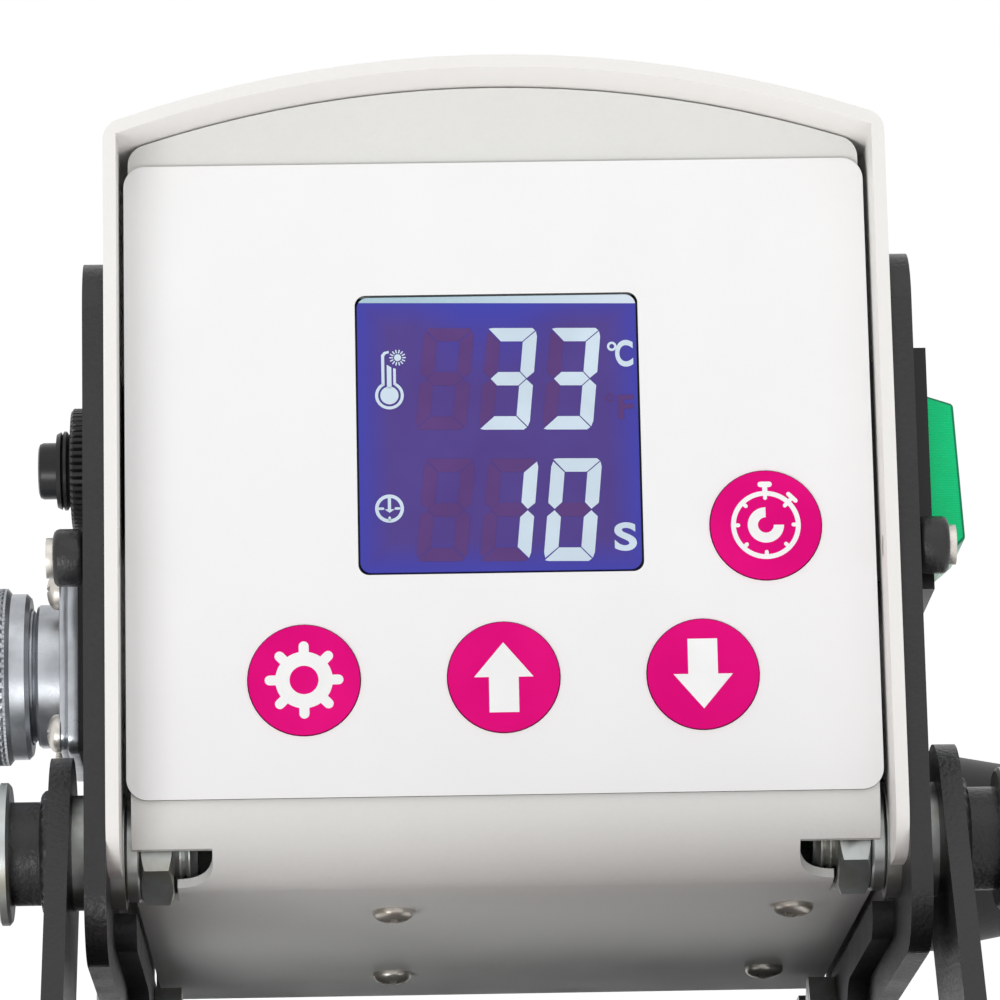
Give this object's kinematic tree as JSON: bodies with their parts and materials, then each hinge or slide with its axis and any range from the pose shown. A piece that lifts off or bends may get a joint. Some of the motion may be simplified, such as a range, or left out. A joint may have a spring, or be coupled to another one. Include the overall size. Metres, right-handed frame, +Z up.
{
  "type": "mug heat press",
  "caption": "Bench-top lever press with a tilted control head over a half-round clamp that wraps a mug between two heated silicone mats.",
  "frame": {"origin": "on the table, under the middle of the bounding box", "axes": "+Z up; -Y is the front, towards which the control panel and the lever point; +X is the operator's right, the side of the power switch"},
  "size_m": [0.2, 0.3316, 0.274],
  "materials": {
    "white_sheet": "satin",
    "dark_sheet": "rough",
    "zinc_steel": "satin",
    "nickel": "satin",
    "printed_film": "matte",
    "window": "gloss",
    "magenta_key": "satin",
    "green_rocker": "gloss",
    "black_plastic": "satin",
    "black_rubber": "matte",
    "silicone": "matte",
    "circuit_board": "satin",
    "foam_grip": "matte",
    "iron_core": "rough",
    "blue_plastic": "satin"
  },
  "bodies": {
    "stand": {"hood_cover": "white_sheet", "front_chassis": "white_sheet", "rear_panel": "white_sheet", "panel_overlay": "printed_film", "display_window": "window", "display_module": "black_plastic", "display_board": "circuit_board", "board_standoffs": "zinc_steel", "key_switches": "black_plastic", "power_board": "circuit_board", "underside_screws": "zinc_steel", "transformer": "iron_core", "terminal_block": "blue_plastic", "left_side_plate": "dark_sheet", "right_side_plate": "dark_sheet", "side_bosses": "dark_sheet", "side_boss_screws": "nickel", "rear_panel_screws": "nickel", "breaker_body": "black_plastic", "breaker_nut": "zinc_steel", "connector_gasket": "black_rubber", "connector_socket": "nickel", "connector_screws": "nickel", "connector_plug": "nickel", "switch_frame": "black_plastic", "mains_gland": "black_plastic", "pivot_bolts": "zinc_steel", "pivot_nuts": "zinc_steel", "pivot_spring_washers": "zinc_steel", "pivot_flat_washers": "zinc_steel", "pivot_spacers": "zinc_steel", "pivot_outer_washers": "zinc_steel", "rear_jaw": "dark_sheet", "rear_heating_mat": "silicone", "rear_jaw_arm": "dark_sheet", "mug_rest": "dark_sheet", "left_upright": "dark_sheet", "right_upright": "dark_sheet", "front_brace": "dark_sheet", "rear_brace": "dark_sheet", "frame_bolts": "zinc_steel", "frame_nuts": "zinc_steel", "base_tray": "dark_sheet", "rubber_feet": "black_rubber", "foot_screws": "zinc_steel"},
    "lever": {"left_lever_plate": "dark_sheet", "right_lever_plate": "dark_sheet", "handle_bar": "zinc_steel", "handle_grip": "foam_grip", "handle_screws": "zinc_steel", "jaw_pins": "zinc_steel"},
    "swinging_jaw": {"front_jaw": "dark_sheet", "front_heating_mat": "silicone"},
    "rocker": {"power_rocker": "green_rocker"},
    "reset_button": {"breaker_button": "black_plastic"},
    "locking_ring": {"coupling_ring": "nickel"},
    "key_settings": {"settings_key": "magenta_key"},
    "key_up": {"up_key": "magenta_key"},
    "key_down": {"down_key": "magenta_key"},
    "key_timer": {"timer_key": "magenta_key"}
  },
  "joints": [
    {"name": "lever_hinge", "type": "hinge", "parent": "stand", "child": "lever", "pos_m": [0, 0.01278, 0.17], "axis": [-1, 0, 0], "range_deg": [-12.5, 70]},
    {"name": "jaw_tilt", "type": "hinge", "parent": "lever", "child": "swinging_jaw", "pos_m": [0, -0.0847, 0.11485], "axis": [-1, 0, 0], "range_deg": [-5, 5]},
    {"name": "power_switch", "type": "hinge", "parent": "stand", "child": "rocker", "pos_m": [0.056, 0.04113, 0.21229], "axis": [0, 0.866, -0.5], "range_deg": [0, 12]},
    {"name": "breaker_reset", "type": "slide", "parent": "stand", "child": "reset_button", "axis": [-1, 0, 0], "range_m": [0, 0.003]},
    {"name": "connector_ring_turn", "type": "hinge", "parent": "stand", "child": "locking_ring", "pos_m": [-0.07, 0.0392, 0.18696], "axis": [-1, 0, 0], "continuous": true},
    {"name": "settings_press", "type": "slide", "parent": "stand", "child": "key_settings", "axis": [0, 0.866, -0.5], "range_m": [0, 0.0004], "stiffness_N_per_m": 2000},
    {"name": "up_press", "type": "slide", "parent": "stand", "child": "key_up", "axis": [0, 0.866, -0.5], "range_m": [0, 0.0004], "stiffness_N_per_m": 2000},
    {"name": "down_press", "type": "slide", "parent": "stand", "child": "key_down", "axis": [0, 0.866, -0.5], "range_m": [0, 0.0004], "stiffness_N_per_m": 2000},
    {"name": "timer_press", "type": "slide", "parent": "stand", "child": "key_timer", "axis": [0, 0.866, -0.5], "range_m": [0, 0.0004], "stiffness_N_per_m": 2000}
  ]
}
